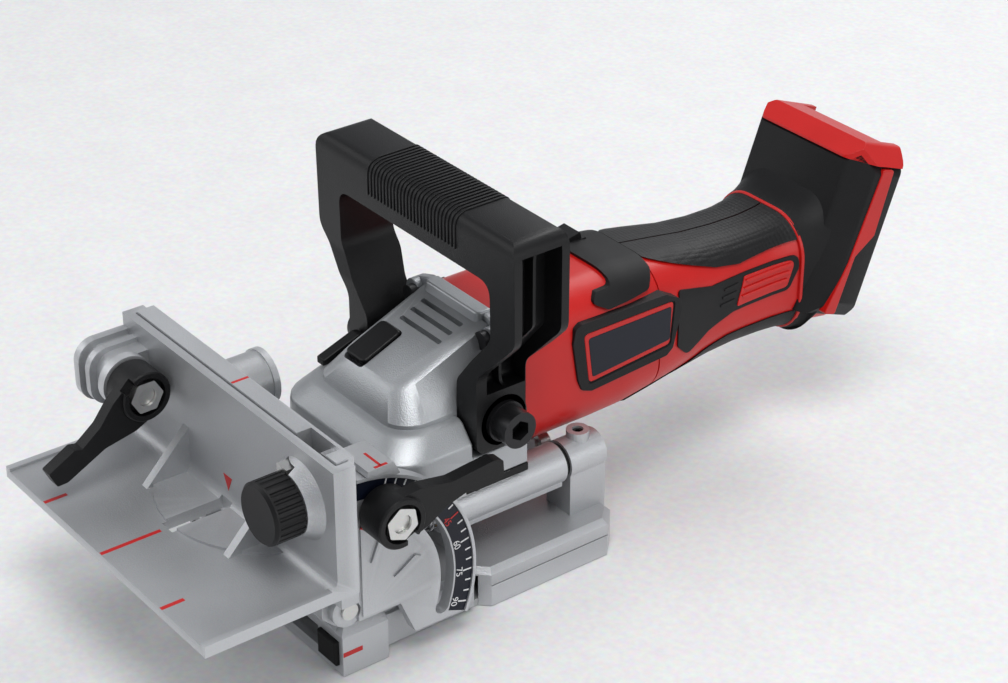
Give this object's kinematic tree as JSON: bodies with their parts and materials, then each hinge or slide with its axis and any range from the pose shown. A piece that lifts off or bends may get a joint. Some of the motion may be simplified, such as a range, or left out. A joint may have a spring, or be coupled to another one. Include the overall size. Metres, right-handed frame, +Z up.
{
  "type": "cordless biscuit joiner",
  "caption": "Cordless biscuit joiner: plunging motor unit on guide rods, toothed disc cutter, tilting fence with angle scale and height rack, D-shaped front handle, battery foot.",
  "frame": {"origin": "front lower edge of the base on its symmetry plane, sole at Z = 0", "axes": "+Y from the base's front face to the battery foot, +Z up, +X to the side with the angle scale"},
  "size_m": [0.1577, 0.3997, 0.173],
  "materials": {
    "cast_alloy": "cast and machined, satin",
    "cover_plate": "black coated sheet",
    "steel_bright": "bright turned or plated steel",
    "steel_black": "black oxide fasteners",
    "rubber_black": "soft black rubber",
    "body_plastic": "fine textured red nylon",
    "grip_overmould": "soft black overmould",
    "handle_plastic": "black glass-filled nylon",
    "accent_red": "red elastomer trim",
    "scale_navy": "printed dark blue label with white ticks",
    "gear_steel": "machined steel",
    "motor_iron": "laminated steel",
    "copper_parts": "copper alloy contacts",
    "bronze": "sintered bronze",
    "circuit": "coated circuit board",
    "clear_red": "red index insert"
  },
  "bodies": {
    "base": {"base_casting": "cast_alloy", "base_cover": "cover_plate", "cover_screws": "steel_black", "grip_pads": "rubber_black", "guide_rods": "steel_bright", "rod_setscrews": "steel_black", "rod_bumpers": "rubber_black", "return_springs": "steel_bright", "pivot_pins": "steel_bright", "angle_index": "cast_alloy", "angle_clamp_stud": "steel_bright", "dust_duct": "cast_alloy", "dust_spigot": "cast_alloy", "turret_screw": "steel_black"},
    "tilt": {"tilt_bracket": "cast_alloy", "angle_scale": "scale_navy", "height_rack": "gear_steel"},
    "fence": {"fence_plate": "cast_alloy", "height_detent": "steel_bright", "height_clamp_bolt": "steel_bright"},
    "knob": {"height_knob": "handle_plastic", "pinion_shaft": "gear_steel"},
    "fence_clamp": {"height_lever": "handle_plastic", "height_lever_nut": "steel_bright"},
    "angle_clamp": {"angle_lever": "handle_plastic", "angle_lever_nut": "steel_bright"},
    "motor_unit": {"gear_housing": "cast_alloy", "housing_screws": "steel_black", "slide_carriage": "cast_alloy", "slide_bushings": "bronze", "spindle_bearings": "steel_bright", "bearing_retainer": "steel_bright", "d_handle": "handle_plastic", "handle_washers": "steel_bright", "handle_bolts": "steel_black", "shell_near": "body_plastic", "shell_far": "body_plastic", "shell_screws": "steel_black", "top_grip": "grip_overmould", "side_badges": "handle_plastic", "battery_foot": "grip_overmould", "foot_trim": "accent_red", "terminal_block": "handle_plastic", "battery_contacts": "copper_parts", "stator": "motor_iron", "motor_bearings": "steel_bright", "brush_holders": "copper_parts", "control_board": "circuit", "stop_screw": "steel_bright"},
    "rotor": {"armature": "motor_iron", "cooling_fan": "handle_plastic", "motor_pinion": "gear_steel"},
    "arbor": {"spindle": "gear_steel", "crown_gear": "gear_steel", "inner_flange": "steel_bright", "saw_blade": "steel_bright", "outer_flange": "steel_bright"},
    "spindle_lock": {"lock_button": "handle_plastic"},
    "power_switch": {"switch_slider": "handle_plastic"},
    "depth_stop": {"depth_turret": "handle_plastic"}
  },
  "joints": [
    {"name": "plunge_slide", "type": "slide", "parent": "base", "child": "motor_unit", "axis": [0, -1, 0], "range_m": [0, 0.022], "stiffness_N_per_m": 900, "springref_m": -0.012, "deforming": ["return_springs"]},
    {"name": "angle_tilt", "type": "hinge", "parent": "base", "child": "tilt", "pos_m": [0, 0.0005, 0.035], "axis": [1, 0, 0], "range_deg": [0, 90]},
    {"name": "fence_height", "type": "slide", "parent": "tilt", "child": "fence", "axis": [0, 0, 1], "range_m": [-0.016, 0.015]},
    {"name": "knob_turn", "type": "hinge", "parent": "fence", "child": "knob", "pos_m": [0.0544, -0.02, 0.0894], "axis": [0, 1, 0], "range_deg": [-154, 144]},
    {"name": "fence_clamp_turn", "type": "hinge", "parent": "fence", "child": "fence_clamp", "pos_m": [-0.046, -0.0264, 0.0942], "axis": [1, 0, 0], "range_deg": [-75, 0]},
    {"name": "angle_clamp_turn", "type": "hinge", "parent": "base", "child": "angle_clamp", "pos_m": [0.073, 0.01495, 0.0792], "axis": [1, 0, 0], "range_deg": [-20, 70]},
    {"name": "rotor_spin", "type": "hinge", "parent": "motor_unit", "child": "rotor", "pos_m": [0, 0.15, 0.081], "axis": [0, 1, 0], "continuous": true},
    {"name": "arbor_spin", "type": "hinge", "parent": "motor_unit", "child": "arbor", "pos_m": [0, 0.058, 0.02], "axis": [0, 0, 1], "continuous": true},
    {"name": "lock_press", "type": "slide", "parent": "motor_unit", "child": "spindle_lock", "axis": [0, 0, -1], "range_m": [0, 0.003], "stiffness_N_per_m": 500, "springref_m": -0.003},
    {"name": "switch_slide", "type": "slide", "parent": "motor_unit", "child": "power_switch", "axis": [0, -1, 0], "range_m": [0, 0.008]},
    {"name": "depth_turn", "type": "hinge", "parent": "base", "child": "depth_stop", "pos_m": [0.008, 0.09, 0.032], "axis": [0, 1, 0], "range_deg": [-300, 0]}
  ],
  "couplings": [
    {"joint": "knob_turn", "follows": "fence_height", "rad_per_m": 166.67},
    {"joint": "arbor_spin", "follows": "rotor_spin", "ratio": 0.35714}
  ]
}
